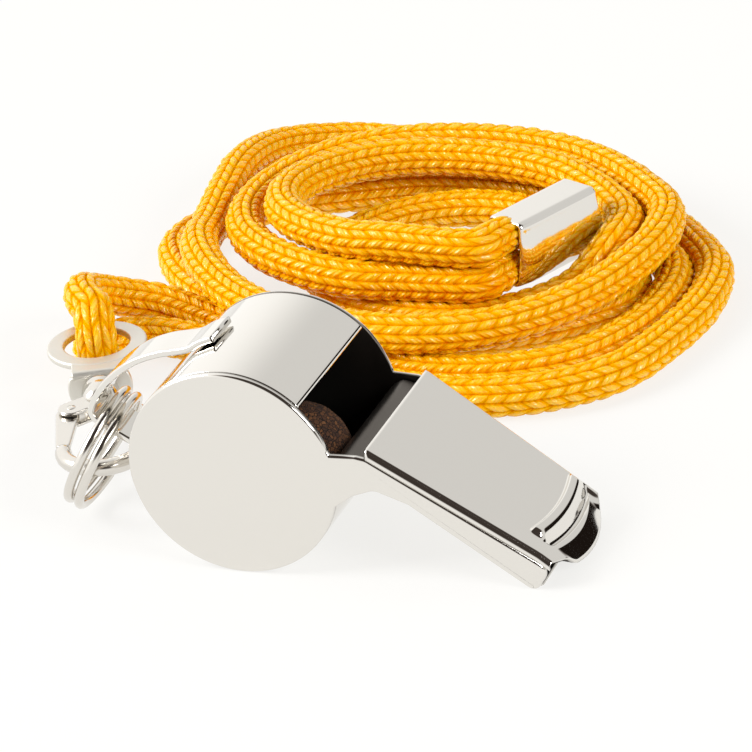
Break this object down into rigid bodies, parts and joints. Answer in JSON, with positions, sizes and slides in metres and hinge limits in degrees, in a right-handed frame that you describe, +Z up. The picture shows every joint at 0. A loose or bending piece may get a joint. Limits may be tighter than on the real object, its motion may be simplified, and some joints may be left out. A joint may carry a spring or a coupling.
{
  "type": "metal whistle",
  "caption": "Sheet-metal pea whistle with a round barrel, narrow mouthpiece, wire split ring, swivel snap hook and a knitted neck cord wound beside it.",
  "frame": {"origin": "on the table under the middle of the whistle and its split ring", "axes": "+X along the mouthpiece, Y along the barrel axis with the pictured face at -Y, +Z up"},
  "size_m": [0.0678, 0.096, 0.0213],
  "materials": {
    "plated_sheet": "bright nickel plate",
    "cork": "raw cork",
    "ring_wire": "nickel-plated spring wire",
    "hook_casting": "nickel-plated casting",
    "eye_plate": "satin nickel",
    "crimp_sheet": "bright nickel plate",
    "knitted_cord": "knitted polyester"
  },
  "bodies": {
    "lanyard": {"cord_coil_a": "knitted_cord", "cord_coil_b": "knitted_cord", "cord_lead": "knitted_cord", "crimp": "crimp_sheet", "swivel_eye": "eye_plate"},
    "hook": {"hook_body": "hook_casting", "swivel_pin": "hook_casting", "gate_pin": "hook_casting"},
    "gate": {"hook_gate": "hook_casting"},
    "ring": {"split_ring": "ring_wire"},
    "whistle": {"side_plate_front": "plated_sheet", "side_plate_back": "plated_sheet", "barrel_band": "plated_sheet", "mouthpiece_roof": "plated_sheet", "windway_floor": "plated_sheet", "hanger_ear": "plated_sheet"},
    "pea": {"cork_pea": "cork"}
  },
  "joints": [
    {"name": "hook_swivel", "type": "hinge", "parent": "lanyard", "child": "hook", "pos_m": [-0.03087, 0.01733, 0.00435], "axis": [0.4226, -0.9063, 0], "continuous": true},
    {"name": "hook_gate_hinge", "type": "hinge", "parent": "hook", "child": "gate", "pos_m": [-0.03118, 0.0109, 0.00435], "axis": [0, 0, 1], "range_deg": [0, 22], "stiffness_Nm_per_rad": 0.02, "springref_deg": -11.46},
    {"name": "ring_on_hook", "type": "hinge", "parent": "hook", "child": "ring", "pos_m": [-0.02403, 0.00077, 0.00435], "axis": [0.9063, 0.4226, 0], "range_deg": [-16, 7]},
    {"name": "whistle_on_ring", "type": "hinge", "parent": "ring", "child": "whistle", "pos_m": [-0.02069, 0.0002, 0.0112], "axis": [0, 1, 0], "range_deg": [-18, 35]},
    {"name": "pea_orbit", "type": "hinge", "parent": "whistle", "child": "pea", "pos_m": [-0.00494, -0.003, 0.0105], "axis": [0, 1, 0], "continuous": true}
  ]
}
